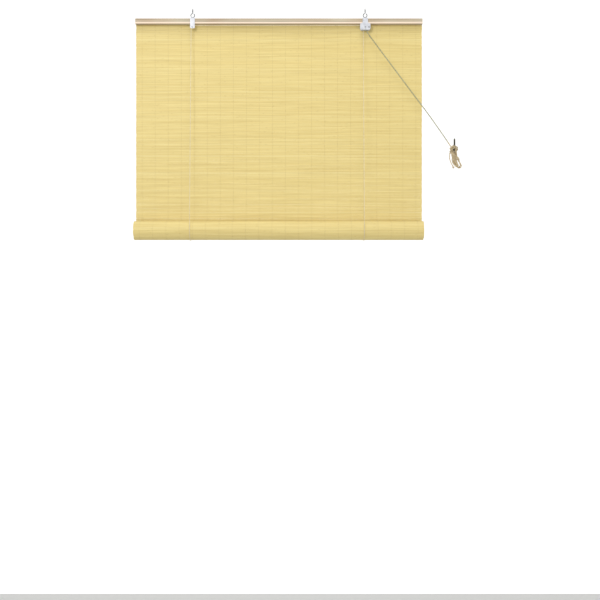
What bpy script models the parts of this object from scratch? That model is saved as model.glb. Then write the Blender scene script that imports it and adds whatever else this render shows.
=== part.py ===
"""A split-bamboo roll-up blind, 80 cm wide and 160 cm long, drawn half-way up.

The mat hangs from a wooden headrail and rolls up from its bottom edge. Two lift cords carry the
roll in slings: each is knotted on the lath behind the headrail, goes down behind the mat, under
the roll and up its front to a pulley under the headrail. Both leave through the cord lock on the
right as one pull cord, which is hung up on a hook in the wall. Pulling the cord turns and lifts
the roll. The blind hangs from two screw eyes in the ceiling.

X runs along the headrail, the room is at -Y and +Z is up. The origin lies in the plane of the
ceiling, half-way between the screw eyes. All sizes are in metres.
"""

import math

import bmesh
import bpy
from mathutils import Vector

# Clearances
TOUCH = 0.0003  # between two pieces that touch
RUNNING = 0.00025  # round a pin in a bore that turns on it

# The blind
BLIND_WIDTH = 0.800
REST_DROP = 0.591  # from the headrail's top to the roll's axis
MAT_THICKNESS = 0.0016
ROLL_RADIUS = 0.027
ROLL_CORE_RADIUS = 0.014
BATTEN_RADIUS = 0.006
BATTEN_SHORTER = 0.010  # at each end, than the mat is wide

# Headrail and the lath nailed behind it
RAIL_HEIGHT = 0.0146
RAIL_DEPTH = 0.0152
BEAD_HEIGHT = 0.0048
BEAD_PROUD = 0.0010
LATH_HEIGHT = 0.012
LATH_DEPTH = 0.006
LATH_BELOW_TOP = 0.001
MAT_BELOW_TOP = 0.0015
NAIL_COUNT = 5
NAIL_RADIUS = 0.0007
NAIL_LENGTH = 0.016
NAIL_HEAD_RADIUS = 0.0019
NAIL_HEAD_HEIGHT = 0.0007
NAIL_END_MARGIN = 0.060

# Screw eyes and the sheet-steel hangers that hook on them
EYE_DIAMETER = 0.0130
EYE_WIRE_RADIUS = 0.0011
EYE_SHANK = 0.0140
EYE_TO_RAIL = 0.0036  # from the bottom of the ring to the headrail's top
HANGER_X = 0.2405  # from the blind's middle to each hanger's middle
SHEET = 0.0012
LEFT_PLATE_WIDTH = 0.013
LEFT_PLATE_DROP = 0.0277  # below the headrail's top
LOCK_STRAP_WIDTH = 0.015
LOCK_WIDTH = 0.0288
LOCK_SHOULDER = 0.0118  # below the headrail's top
LOCK_DROP = 0.0319
LOCK_CORNER = 0.0045
LOCK_NOTCH_WIDTH = 0.0016
LOCK_NOTCH_HEIGHT = 0.0034
LUG_HALF_WIDTH = 0.003
LUG_HOLE_RADIUS = 0.0019
SCREW_RADIUS = 0.0009
SCREW_HEAD_RADIUS = 0.0018
SCREW_HEAD_HEIGHT = 0.0010
SCREW_LENGTH = 0.010
SCREW_BACK = 0.0052  # behind the eye

# Cords, pulleys and the lock's cam
CORD_RADIUS = 0.0008
PULL_CORD_RADIUS = 0.0016
LEFT_PULLEY_REACH = 0.004  # from the axle to the middle of the cord
SHEAVE_REACH = 0.005
CORD_BELOW_RAIL_TOP = 0.0192  # where the left cord crosses to the lock
FLANGE = 0.0010
GROOVE = 0.0020
GROOVE_PITCH = 0.0032
LEFT_FLANGE_OVER = 0.0006  # past the middle of the cord
SHEAVE_FLANGE_OVER = 0.0006
AXLE_RADIUS = 0.0012
RIVET_HEAD_RADIUS = 0.0022
RIVET_HEAD_HEIGHT = 0.0009
CAM_OFFSET = 0.0101  # from the sheave's axle to the cam's
CAM_TAIL = 0.0048
CAM_LOBE_DROP = 0.0028
CAM_HEEL = 0.0032
CORD_OUT_BELOW_AXLE = 0.0066
KNOT_RADIUS = 0.0022

# Wall hook and the cord hung on it
WALL_BEHIND_LATH = 0.0017
HOOK_BESIDE_MAT = 0.0872
HOOK_ARM_Z = -0.3780
HOOK_TOP_Z = -0.3526
HOOK_FRONT = 0.0180  # in front of the screw eyes
HOOK_RADIUS = 0.0024
HOOK_BEND = 0.0050
HOOK_THREAD = 0.018
ROSETTE_RADIUS = 0.0070
ROSETTE_THICKNESS = 0.0015
HANK_TOP = (-0.0007, -0.3775)  # across from the hook, height
HANK_TOP_RADIUS = 0.0105
HANK_BOTTOM = (0.0123, -0.4252)
HANK_BOTTOM_RADIUS = 0.0090
HANK_FRONT = 0.0130
HANK_DEPTH = 0.0140

# What follows from them
RAIL_TOP = -(EYE_DIAMETER + EYE_TO_RAIL)
RAIL_BACK = RAIL_DEPTH / 2
RAIL_BOTTOM = RAIL_TOP - RAIL_HEIGHT
MAT_FRONT = RAIL_BACK + TOUCH
MAT_BACK = MAT_FRONT + MAT_THICKNESS
LATH_FRONT = MAT_BACK + TOUCH
LATH_BACK = LATH_FRONT + LATH_DEPTH
LATH_TOP = RAIL_TOP - LATH_BELOW_TOP
LATH_MIDDLE_Z = LATH_TOP - LATH_HEIGHT / 2
WALL = LATH_BACK + WALL_BEHIND_LATH
PLATE_BACK = -(RAIL_DEPTH / 2 + BEAD_PROUD + TOUCH)
PLATE_FRONT = PLATE_BACK - SHEET
FLANGE_TOP = RAIL_TOP + TOUCH + SHEET
ROLL_Y = MAT_FRONT - TOUCH - ROLL_RADIUS
ROLL_Z = RAIL_TOP - REST_DROP
SHEAVE_WIDTH = 2 * FLANGE + GROOVE + GROOVE_PITCH
SHEAVE_FRONT = PLATE_BACK + 2 * TOUCH
SHEAVE_BACK = SHEAVE_FRONT + SHEAVE_WIDTH
FRONT_GROOVE_Y = SHEAVE_FRONT + FLANGE + GROOVE / 2
BACK_GROOVE_Y = FRONT_GROOVE_Y + GROOVE_PITCH
LOCK_BACK_FRONT = SHEAVE_BACK + TOUCH
LOCK_BACK_BACK = LOCK_BACK_FRONT + SHEET
CROSS_Z = RAIL_TOP - CORD_BELOW_RAIL_TOP
PULLEY_Z = CROSS_Z - LEFT_PULLEY_REACH
SHEAVE_Z = CROSS_Z - SHEAVE_REACH
CAM_X = HANGER_X + CAM_OFFSET
LEFT_CORD_X = -HANGER_X - LEFT_PULLEY_REACH
RIGHT_CORD_X = HANGER_X - SHEAVE_REACH
CORD_OUT_X = HANGER_X + SHEAVE_REACH
CORD_OUT_Z = SHEAVE_Z - CORD_OUT_BELOW_AXLE
SLING_REACH = ROLL_RADIUS + TOUCH + CORD_RADIUS
BACK_CORD_Y = MAT_BACK + TOUCH + CORD_RADIUS
LATH_HOLE_Y = (LATH_FRONT + LATH_BACK) / 2
HOOK_X = BLIND_WIDTH / 2 + HOOK_BESIDE_MAT


def material(name, colour, roughness, metallic=0.0):
    """A plain Principled material. The colour is linear red, green and blue."""
    made = bpy.data.materials.new(name)
    made.use_nodes = True
    shader = made.node_tree.nodes["Principled BSDF"]
    shader.inputs["Base Color"].default_value = (*colour, 1.0)
    shader.inputs["Roughness"].default_value = roughness
    shader.inputs["Metallic"].default_value = metallic
    return made


def add(name, data, look, place=(0, 0, 0)):
    """Link a mesh or a curve as an object of that name at that place."""
    made = bpy.data.objects.new(name, data)
    made.location = place
    data.materials.append(look)
    bpy.context.scene.collection.objects.link(made)
    return made


def from_bmesh(name, shape, look, place=(0, 0, 0), round_it=False):
    """Close a bmesh into an object, its faces pointing out."""
    bmesh.ops.recalc_face_normals(shape, faces=shape.faces[:])
    data = bpy.data.meshes.new(name)
    shape.to_mesh(data)
    shape.free()
    if round_it:
        data.shade_smooth()
        data.set_sharp_from_angle(angle=math.radians(35))
    return add(name, data, look, place)


def arc(centre, radius, start, end, steps):
    """Points on an arc, both ends included. The angles are in degrees."""
    turns = [math.radians(start + (end - start) * i / steps) for i in range(steps + 1)]
    return [(centre[0] + radius * math.cos(t), centre[1] + radius * math.sin(t)) for t in turns]


def extruded(name, outline, axis, low, high, look, place=(0, 0, 0)):
    """An outline drawn in the plane across an axis, X or Y, and given a thickness along it."""
    shape = bmesh.new()
    if axis == "X":
        corners = [shape.verts.new((low, a, b)) for a, b in outline]
        along = Vector((high - low, 0, 0))
    else:
        corners = [shape.verts.new((a, low, b)) for a, b in outline]
        along = Vector((0, high - low, 0))
    face = shape.faces.new(corners)
    grown = bmesh.ops.extrude_face_region(shape, geom=[face])
    moved = [v for v in grown["geom"] if isinstance(v, bmesh.types.BMVert)]
    bmesh.ops.translate(shape, verts=moved, vec=along)
    return from_bmesh(name, shape, look, place)


def block(name, low, high, look):
    """A square-edged bar between two corners."""
    outline = [(low[1], low[2]), (high[1], low[2]), (high[1], high[2]), (low[1], high[2])]
    return extruded(name, outline, "X", low[0], high[0], look)


def turned(name, profile, axis, place, look, steps=24):
    """A profile of (distance along the axis, radius) points, spun round that axis at place.

    A profile that starts and ends at radius 0 gives a solid piece, any other gives a ring.
    """
    shape = bmesh.new()
    across = {"X": (0, 1, 0), "Y": (0, 0, 1), "Z": (1, 0, 0)}[axis]
    along = {"X": (1, 0, 0), "Y": (0, 1, 0), "Z": (0, 0, 1)}[axis]
    points = [Vector(along) * a + Vector(across) * r for a, r in profile]
    corners = [shape.verts.new(p) for p in points]
    ring = profile[0][1] > 0
    ends = corners + corners[:1] if ring else corners
    edges = [shape.edges.new(pair) for pair in zip(ends, ends[1:])]
    bmesh.ops.spin(
        shape,
        geom=corners + edges,
        axis=along,
        cent=(0, 0, 0),
        angle=math.tau,
        steps=steps,
        use_merge=True,
    )
    bmesh.ops.remove_doubles(shape, verts=shape.verts[:], dist=1e-6)
    return from_bmesh(name, shape, look, place, round_it=True)


def wire(name, points, radius, look, place=(0, 0, 0), radii=None, sides=2):
    """A round wire or cord along points. radii holds a share of the radius for each point."""
    line = bpy.data.curves.new(name, "CURVE")
    line.dimensions = "3D"
    line.bevel_depth = radius
    line.bevel_resolution = sides
    line.use_fill_caps = True
    spline = line.splines.new("POLY")
    spline.points.add(len(points) - 1)
    for i, point in enumerate(points):
        spline.points[i].co = (*point, 1.0)
        spline.points[i].radius = radii[i] if radii else 1.0
    return add(name, line, look, place)


def cut(target, cutter, operation="DIFFERENCE"):
    """Cut a hidden helper out of a piece, or join it on."""
    cutter.hide_render = True
    cutter.display_type = "WIRE"
    step = target.modifiers.new(cutter.name, "BOOLEAN")
    step.operation = operation
    step.object = cutter


def drill(target, name, axis, place, radius, low, high, steps=16):
    """Bore a round hole along an axis, from low to high beside place."""
    profile = [(low, 0.0), (low, radius), (high, radius), (high, 0.0)]
    cut(target, turned(name, profile, axis, place, steel, steps))


def smooth_line(points, step):
    """Points about step apart on the smooth curve through a route's own points."""
    route = [Vector(p) for p in points]
    ends = [2 * route[0] - route[1], *route, 2 * route[-1] - route[-2]]
    line = []
    for before, start, end, after in zip(ends, ends[1:], ends[2:], ends[3:]):
        count = max(1, round((end - start).length / step))
        for i in range(count):
            t = i / count
            line.append(
                0.5
                * (
                    2 * start
                    + (end - before) * t
                    + (2 * before - 5 * start + 4 * end - after) * t**2
                    + (3 * start - before - 3 * end + after) * t**3
                )
            )
    return [*line, route[-1]]


for leftover in list(bpy.data.objects):
    bpy.data.objects.remove(leftover, do_unlink=True)

pine = material("planed pine", (0.63, 0.50, 0.36), 0.6)
bamboo = material("split bamboo mat", (0.78, 0.62, 0.24), 0.55)
cotton = material("cotton cord", (0.76, 0.66, 0.42), 0.85)
white_steel = material("white painted steel", (0.86, 0.87, 0.88), 0.35)
nylon = material("white nylon", (0.80, 0.80, 0.78), 0.4)
zinc = material("zinc plated wire", (0.55, 0.56, 0.58), 0.3, 1.0)
steel = material("plain steel", (0.45, 0.46, 0.48), 0.35, 1.0)
dark_steel = material("dark steel hook", (0.12, 0.12, 0.11), 0.4, 1.0)

# Headrail: a planed batten with a bead along its lower front edge.
bead_radius = (BEAD_HEIGHT**2 / 4 + BEAD_PROUD**2) / (2 * BEAD_PROUD)
bead_centre = (
    -RAIL_DEPTH / 2 - BEAD_PROUD + bead_radius,
    RAIL_BOTTOM + BEAD_HEIGHT / 2,
)
bead_half = math.degrees(math.asin(BEAD_HEIGHT / 2 / bead_radius))
rail_outline = [
    (RAIL_BACK, RAIL_BOTTOM),
    (RAIL_BACK, RAIL_TOP),
    (-RAIL_DEPTH / 2, RAIL_TOP),
    *arc(bead_centre, bead_radius, 180 - bead_half, 180 + bead_half, 6),
]
headrail = extruded(
    "headrail", rail_outline, "X", -BLIND_WIDTH / 2, BLIND_WIDTH / 2, pine
)

# The mat's hanging length, held between the headrail and a lath behind it.
mat = block(
    "mat_hanging",
    (-BLIND_WIDTH / 2, MAT_FRONT, ROLL_Z),
    (BLIND_WIDTH / 2, MAT_BACK, RAIL_TOP - MAT_BELOW_TOP),
    bamboo,
)
lath = block(
    "back_lath",
    (-BLIND_WIDTH / 2, LATH_FRONT, LATH_TOP - LATH_HEIGHT),
    (BLIND_WIDTH / 2, LATH_BACK, LATH_TOP),
    pine,
)
nail_reach = BLIND_WIDTH / 2 - NAIL_END_MARGIN
nail_profile = [
    (-NAIL_LENGTH, 0.0),
    (-NAIL_LENGTH + 2 * NAIL_RADIUS, NAIL_RADIUS),
    (TOUCH, NAIL_RADIUS),
    (TOUCH, NAIL_HEAD_RADIUS),
    (TOUCH + NAIL_HEAD_HEIGHT, NAIL_HEAD_RADIUS),
    (TOUCH + NAIL_HEAD_HEIGHT, 0.0),
]
for n in range(NAIL_COUNT):
    nail_at = (nail_reach * (2 * n / (NAIL_COUNT - 1) - 1), LATH_BACK, LATH_MIDDLE_Z)
    turned(f"lath_nail_{n + 1}", nail_profile, "Y", nail_at, steel, 12)
    for wood in (headrail, mat, lath):
        drill(
            wood,
            f"{wood.name} nail hole {n + 1}",
            "Y",
            nail_at,
            NAIL_RADIUS + TOUCH,
            -NAIL_LENGTH - TOUCH,
            LATH_DEPTH,
            12,
        )

# The roll: the mat's wound length, round a loose core that holds the bottom batten.
turned(
    "mat_roll",
    [
        (-BLIND_WIDTH / 2, ROLL_CORE_RADIUS),
        (-BLIND_WIDTH / 2, ROLL_RADIUS),
        (BLIND_WIDTH / 2, ROLL_RADIUS),
        (BLIND_WIDTH / 2, ROLL_CORE_RADIUS),
    ],
    "X",
    (0, ROLL_Y, ROLL_Z),
    bamboo,
    48,
)
batten_reach = BLIND_WIDTH / 2 - BATTEN_SHORTER
batten_drop = ROLL_CORE_RADIUS - TOUCH - BATTEN_RADIUS
batten = turned(
    "bottom_batten",
    [
        (-batten_reach, 0.0),
        (-batten_reach, BATTEN_RADIUS),
        (batten_reach, BATTEN_RADIUS),
        (batten_reach, 0.0),
    ],
    "X",
    (0, ROLL_Y, ROLL_Z),
    pine,
    20,
)
for vertex in batten.data.vertices:
    vertex.co.z -= batten_drop


def hanger(name, x, strap_width, plate_outline):
    """A white steel hanger: a front plate, a flange over the headrail and a lug for the eye.

    plate_outline gives the front plate as (distance from x, height below the headrail's top).
    """
    outline = [(x + a, RAIL_TOP + b) for a, b in plate_outline]
    made = extruded(name, outline, "Y", PLATE_FRONT, PLATE_BACK, white_steel)
    flange = block(
        f"{name} flange",
        (x - strap_width / 2, PLATE_BACK - SHEET / 2, FLANGE_TOP - SHEET),
        (x + strap_width / 2, RAIL_BACK, FLANGE_TOP),
        white_steel,
    )
    wire_bottom = -EYE_DIAMETER + EYE_WIRE_RADIUS
    hole_z = wire_bottom + EYE_WIRE_RADIUS + TOUCH - LUG_HOLE_RADIUS
    lug_foot = FLANGE_TOP - SHEET / 2
    lug_outline = [
        (-LUG_HALF_WIDTH, lug_foot),
        (LUG_HALF_WIDTH, lug_foot),
        *arc((0, hole_z), LUG_HALF_WIDTH, 0, 180, 10),
    ]
    lug = extruded(f"{name} lug", lug_outline, "X", x - SHEET / 2, x + SHEET / 2, white_steel)
    cut(made, flange, "UNION")
    cut(made, lug, "UNION")
    drill(made, f"{name} lug hole", "X", (x, 0, hole_z), LUG_HOLE_RADIUS, -SHEET, SHEET)
    screw_at = (x, SCREW_BACK, FLANGE_TOP)
    hole = SCREW_RADIUS + TOUCH
    drill(made, f"{name} screw hole", "Z", screw_at, hole, -2 * SHEET, SHEET, 12)
    drill(headrail, f"{name} pilot hole", "Z", screw_at, hole, -SCREW_LENGTH - TOUCH, SHEET, 12)
    turned(
        f"{name}_screw",
        [
            (-SCREW_LENGTH, 0.0),
            (-SCREW_LENGTH + 2 * SCREW_RADIUS, SCREW_RADIUS),
            (TOUCH, SCREW_RADIUS),
            (TOUCH, SCREW_HEAD_RADIUS),
            (TOUCH + SCREW_HEAD_HEIGHT / 2, SCREW_HEAD_RADIUS),
            (TOUCH + SCREW_HEAD_HEIGHT, SCREW_HEAD_RADIUS / 2),
            (TOUCH + SCREW_HEAD_HEIGHT, 0.0),
        ],
        "Z",
        screw_at,
        steel,
        16,
    )
    return made


def screw_eye(name, x):
    """A screw eye: a pointed shank up into the ceiling and a ring of the same wire below it."""
    middle = EYE_DIAMETER / 2
    reach = middle - EYE_WIRE_RADIUS
    ring = arc((0, -middle), reach, 118, 425, 30)
    shank = [(0, EYE_SHANK), (0, EYE_SHANK * 0.8), (0, EYE_SHANK * 0.35), (0, 0.0004)]
    points = [(x + a, 0, b) for a, b in shank + ring]
    radii = [0.1, 0.75] + [1.0] * (len(points) - 2)
    return wire(name, points, EYE_WIRE_RADIUS, zinc, radii=radii)


def rivet(name, x, z, tail_y):
    """A rivet through the front plate, its tail closed behind what turns on it."""
    head = PLATE_FRONT - TOUCH
    turned(
        name,
        [
            (head - RIVET_HEAD_HEIGHT, 0.0),
            (head - RIVET_HEAD_HEIGHT, RIVET_HEAD_RADIUS * 0.6),
            (head - RIVET_HEAD_HEIGHT / 2, RIVET_HEAD_RADIUS),
            (head, RIVET_HEAD_RADIUS),
            (head, AXLE_RADIUS),
            (tail_y + TOUCH, AXLE_RADIUS),
            (tail_y + TOUCH, RIVET_HEAD_RADIUS),
            (tail_y + TOUCH + RIVET_HEAD_HEIGHT, RIVET_HEAD_RADIUS),
            (tail_y + TOUCH + RIVET_HEAD_HEIGHT, 0.0),
        ],
        "Y",
        (x, 0, z),
        steel,
        20,
    )


def pulley(name, x, z, reach, over, grooves):
    """A grooved wheel on the Y axis; reach is from its axis to the middle of the cord."""
    bore = AXLE_RADIUS + RUNNING
    floor = reach - CORD_RADIUS - TOUCH
    rim = reach + over
    front = FRONT_GROOVE_Y - GROOVE / 2 - FLANGE
    profile = [(front, bore), (front, rim)]
    for n in range(grooves):
        middle = FRONT_GROOVE_Y + n * GROOVE_PITCH
        profile += [
            (middle - GROOVE / 2, rim),
            (middle - GROOVE / 2, floor),
            (middle + GROOVE / 2, floor),
            (middle + GROOVE / 2, rim),
        ]
    back = FRONT_GROOVE_Y + (grooves - 1) * GROOVE_PITCH + GROOVE / 2 + FLANGE
    profile += [(back, rim), (back, bore)]
    turned(name, profile, "Y", (x, 0, z), nylon, 28)
    return back


# Screw eyes, hangers, the left pulley and the cord lock.
screw_eye("screw_eye_left", -HANGER_X)
screw_eye("screw_eye_right", HANGER_X)

plate_top = FLANGE_TOP - RAIL_TOP
half = LEFT_PLATE_WIDTH / 2
corner = LEFT_PLATE_WIDTH / 5
left_hanger = hanger(
    "left_hanger",
    -HANGER_X,
    LEFT_PLATE_WIDTH,
    [
        (-half, plate_top),
        *arc((corner - half, corner - LEFT_PLATE_DROP), corner, 180, 270, 5),
        *arc((half - corner, corner - LEFT_PLATE_DROP), corner, 270, 360, 5),
        (half, plate_top),
    ],
)
rivet_hole = AXLE_RADIUS + TOUCH
drill(
    left_hanger,
    "left axle hole",
    "Y",
    (-HANGER_X, 0, PULLEY_Z),
    rivet_hole,
    PLATE_FRONT - SHEET,
    PLATE_BACK + SHEET,
)
left_back = pulley(
    "left_pulley", -HANGER_X, PULLEY_Z, LEFT_PULLEY_REACH, LEFT_FLANGE_OVER, 1
)
rivet("left_pulley_axle", -HANGER_X, PULLEY_Z, left_back)

half = LOCK_WIDTH / 2
strap = LOCK_STRAP_WIDTH / 2
slope = half - strap
notch = LOCK_NOTCH_WIDTH / 2
lobe_bottom = LOCK_CORNER - LOCK_DROP
front_outline = [
    (-strap, plate_top),
    (-strap, -LOCK_SHOULDER),
    (-half, -LOCK_SHOULDER - slope / 2),
    *arc((LOCK_CORNER - half, lobe_bottom), LOCK_CORNER, 180, 270, 5),
    (-notch, -LOCK_DROP),
    (-notch, -LOCK_DROP + LOCK_NOTCH_HEIGHT),
    (notch, -LOCK_DROP + LOCK_NOTCH_HEIGHT),
    (notch, -LOCK_DROP),
    *arc((half - LOCK_CORNER, lobe_bottom), LOCK_CORNER, 270, 360, 5),
    (half, -LOCK_SHOULDER - slope / 2),
    (strap, -LOCK_SHOULDER),
    (strap, plate_top),
]
lock_front = hanger("lock_hanger", HANGER_X, LOCK_STRAP_WIDTH, front_outline)
back_top = -RAIL_HEIGHT - TOUCH
back_outline = [
    (-half, back_top),
    *arc((LOCK_CORNER - half, lobe_bottom), LOCK_CORNER, 180, 270, 5),
    *arc((half - LOCK_CORNER, lobe_bottom), LOCK_CORNER, 270, 360, 5),
    (half, back_top),
]
lock_back = extruded(
    "lock_back_plate",
    [(HANGER_X + a, RAIL_TOP + b) for a, b in back_outline],
    "Y",
    LOCK_BACK_FRONT,
    LOCK_BACK_BACK,
    white_steel,
)
for plate in (lock_front, lock_back):
    for axle_x in (HANGER_X, CAM_X):
        drill(
            plate,
            f"{plate.name} hole {axle_x:.4f}",
            "Y",
            (axle_x, 0, SHEAVE_Z),
            rivet_hole,
            PLATE_FRONT - SHEET,
            LOCK_BACK_BACK + SHEET,
        )
pulley("lock_sheave", HANGER_X, SHEAVE_Z, SHEAVE_REACH, SHEAVE_FLANGE_OVER, 2)
rivet("lock_sheave_axle", HANGER_X, SHEAVE_Z, LOCK_BACK_BACK)
rivet("lock_cam_axle", CAM_X, SHEAVE_Z, LOCK_BACK_BACK)

# The cam's flat face jams the cords against the sheave, and its tail keeps it closed.
cam_face = CORD_OUT_X + CORD_RADIUS + TOUCH - CAM_X
cam_outline = [
    (cam_face, 0.0),
    (cam_face, -CAM_LOBE_DROP),
    *arc((0, 0), CAM_HEEL, 250, 320, 4),
    (CAM_TAIL, -0.0018),
    (CAM_TAIL, 0.0018),
    *arc((0, 0), CAM_HEEL, 40, 150, 6),
]
cam = extruded("lock_cam", cam_outline, "Y", SHEAVE_FRONT, SHEAVE_BACK, steel, (CAM_X, 0, SHEAVE_Z))
cam_bore = AXLE_RADIUS + RUNNING
drill(cam, "cam bore", "Y", (CAM_X, 0, SHEAVE_Z), cam_bore, PLATE_FRONT, SHEET, 20)


# The lift cords, each in three lengths: behind the mat, round the roll, and up the front.
def sling(name, x):
    """The cord under the roll, from its front up to the level of its axis behind the mat."""
    points = []
    for i in range(25):
        turn = math.radians(180 + 180 * i / 24)
        out = max(0.0, (i - 12) / 12)
        rise = out * out * (3 - 2 * out)
        reach = SLING_REACH + (BACK_CORD_Y - ROLL_Y - SLING_REACH) * rise
        points.append((x, reach * math.cos(turn), reach * math.sin(turn)))
    wire(name, points, CORD_RADIUS, cotton, (0, ROLL_Y, ROLL_Z))


for side, x, top_y, top_z in (
    ("left", LEFT_CORD_X, FRONT_GROOVE_Y, PULLEY_Z),
    ("right", RIGHT_CORD_X, BACK_GROOVE_Y, SHEAVE_Z),
):
    sling(f"lift_cord_sling_{side}", x)
    wire(
        f"lift_cord_front_{side}",
        [
            (x, ROLL_Y - SLING_REACH, ROLL_Z + TOUCH),
            (x, top_y, top_z - SHEAVE_REACH - 2 * CORD_RADIUS),
            (x, top_y, top_z - TOUCH),
        ],
        CORD_RADIUS,
        cotton,
    )
    wire(
        f"lift_cord_back_{side}",
        [
            (x, BACK_CORD_Y, ROLL_Z + TOUCH),
            (x, LATH_HOLE_Y, LATH_TOP - LATH_HEIGHT - 4 * CORD_RADIUS),
            (x, LATH_HOLE_Y, LATH_TOP - TOUCH),
        ],
        CORD_RADIUS,
        cotton,
    )
    drill(
        lath,
        f"cord hole {side}",
        "Z",
        (x, LATH_HOLE_Y, LATH_TOP),
        CORD_RADIUS + TOUCH,
        -LATH_HEIGHT - SHEET,
        SHEET,
        12,
    )
    knot = bmesh.new()
    bmesh.ops.create_icosphere(knot, subdivisions=2, radius=KNOT_RADIUS)
    knot_z = LATH_TOP + TOUCH + KNOT_RADIUS
    from_bmesh(f"cord_knot_{side}", knot, cotton, (x, LATH_HOLE_Y, knot_z), round_it=True)

# Both cords' last lengths: over the pulleys and down into the lock's mouth.
over_left = arc((-HANGER_X, PULLEY_Z), LEFT_PULLEY_REACH, 180, 90, 6)
over_lock = arc((HANGER_X, SHEAVE_Z), SHEAVE_REACH, 90, 0, 6)
across = [*over_left, *over_lock, (CORD_OUT_X, CORD_OUT_Z + TOUCH)]
wire(
    "lift_cord_cross_left",
    [(a, FRONT_GROOVE_Y, b) for a, b in across],
    CORD_RADIUS,
    cotton,
)
round_lock = arc((HANGER_X, SHEAVE_Z), SHEAVE_REACH, 180, 0, 12)
wire(
    "lift_cord_top_right",
    [(a, BACK_GROOVE_Y, b) for a, b in [*round_lock, (CORD_OUT_X, CORD_OUT_Z + TOUCH)]],
    CORD_RADIUS,
    cotton,
)

# The wall hook: screwed into the wall through a rosette, its end turned up.
bend_y = -HOOK_FRONT + HOOK_BEND
hook_points = [(WALL + HOOK_THREAD, HOOK_ARM_Z), (WALL + HOOK_THREAD * 0.8, HOOK_ARM_Z)]
hook_points += [(WALL, HOOK_ARM_Z)]
hook_points += arc((bend_y, HOOK_ARM_Z + HOOK_BEND), HOOK_BEND, 270, 180, 6)
hook_points += [(-HOOK_FRONT, HOOK_TOP_Z - HOOK_RADIUS), (-HOOK_FRONT, HOOK_TOP_Z)]
hook_radii = [0.15, 0.8] + [1.0] * (len(hook_points) - 3) + [0.55]
wire(
    "wall_hook",
    [(HOOK_X, a, b) for a, b in hook_points],
    HOOK_RADIUS,
    dark_steel,
    radii=hook_radii,
)
rosette_hole = HOOK_RADIUS + TOUCH
turned(
    "hook_rosette",
    [
        (-ROSETTE_THICKNESS, rosette_hole),
        (-ROSETTE_THICKNESS, ROSETTE_RADIUS * 0.8),
        (-ROSETTE_THICKNESS / 2, ROSETTE_RADIUS),
        (0.0, ROSETTE_RADIUS),
        (0.0, rosette_hole),
    ],
    "Y",
    (HOOK_X, WALL, HOOK_ARM_Z),
    dark_steel,
    28,
)

# The pull cord, taut from the lock's mouth to the hank that hangs on the hook.
hank_y = -HANK_FRONT + HANK_DEPTH / 2
hank_ends = [(HOOK_X + x, z) for x, z in (HANK_TOP, HANK_BOTTOM)]
cord_y = (FRONT_GROOVE_Y + BACK_GROOVE_Y) / 2
cord_out = Vector((CORD_OUT_X, cord_y, CORD_OUT_Z - TOUCH))
hank_top = Vector((hank_ends[0][0], hank_y, hank_ends[0][1]))
cord_end = hank_top + (cord_out - hank_top).normalized() * (HANK_TOP_RADIUS + 2 * TOUCH)
pull_route = [
    cord_out,
    cord_out + Vector((0.0002, 0, -0.0040)),
    cord_out + Vector((0.0019, 0, -0.0085)),
    cord_out + Vector((0.0060, 0, -0.0148)),
]
pull_route += [pull_route[-1].lerp(cord_end, share) for share in (0.25, 0.5, 0.75, 1.0)]
wire("pull_cord", smooth_line(pull_route, 0.0085), PULL_CORD_RADIUS, cotton)

# The hank: the rest of the pull cord, wound in loops and hung over the hook.
hank_along = Vector(hank_ends[1]) - Vector(hank_ends[0])
lean = math.degrees(math.atan2(hank_along.y, hank_along.x))
hank_outline = [
    *arc(hank_ends[0], HANK_TOP_RADIUS, lean + 90, lean + 270, 12),
    *arc(hank_ends[1], HANK_BOTTOM_RADIUS, lean - 90, lean + 90, 12),
]
hank = extruded("cord_hank", hank_outline, "Y", -HANK_FRONT, HANK_DEPTH - HANK_FRONT, cotton)
drill(
    hank,
    "hank hook hole",
    "Y",
    (HOOK_X, 0, HOOK_ARM_Z),
    HOOK_RADIUS + TOUCH,
    -HANK_FRONT - SHEET,
    HANK_DEPTH,
)
tail_route = [
    (HOOK_X - 0.0066, hank_y, -0.3985),
    (HOOK_X - 0.0098, hank_y, -0.4050),
    (HOOK_X - 0.0090, hank_y, -0.4130),
    (HOOK_X - 0.0050, hank_y, -0.4212),
    (HOOK_X - 0.0017, hank_y, -0.4288),
]
wire("cord_tail", smooth_line(tail_route, 0.004), PULL_CORD_RADIUS, cotton)
tail_knot = bmesh.new()
bmesh.ops.create_icosphere(tail_knot, subdivisions=2, radius=1.5 * PULL_CORD_RADIUS)
tail_end = Vector(tail_route[-1])
tail_run = (tail_end - Vector(tail_route[-2])).normalized()
knot_at = tail_end + tail_run * (1.5 * PULL_CORD_RADIUS + TOUCH)
from_bmesh("cord_end_knot", tail_knot, cotton, knot_at, round_it=True)
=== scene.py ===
"""A split-bamboo roll-up blind, half-way up, with its cords, lock and wall hook."""

import math
import random

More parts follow.
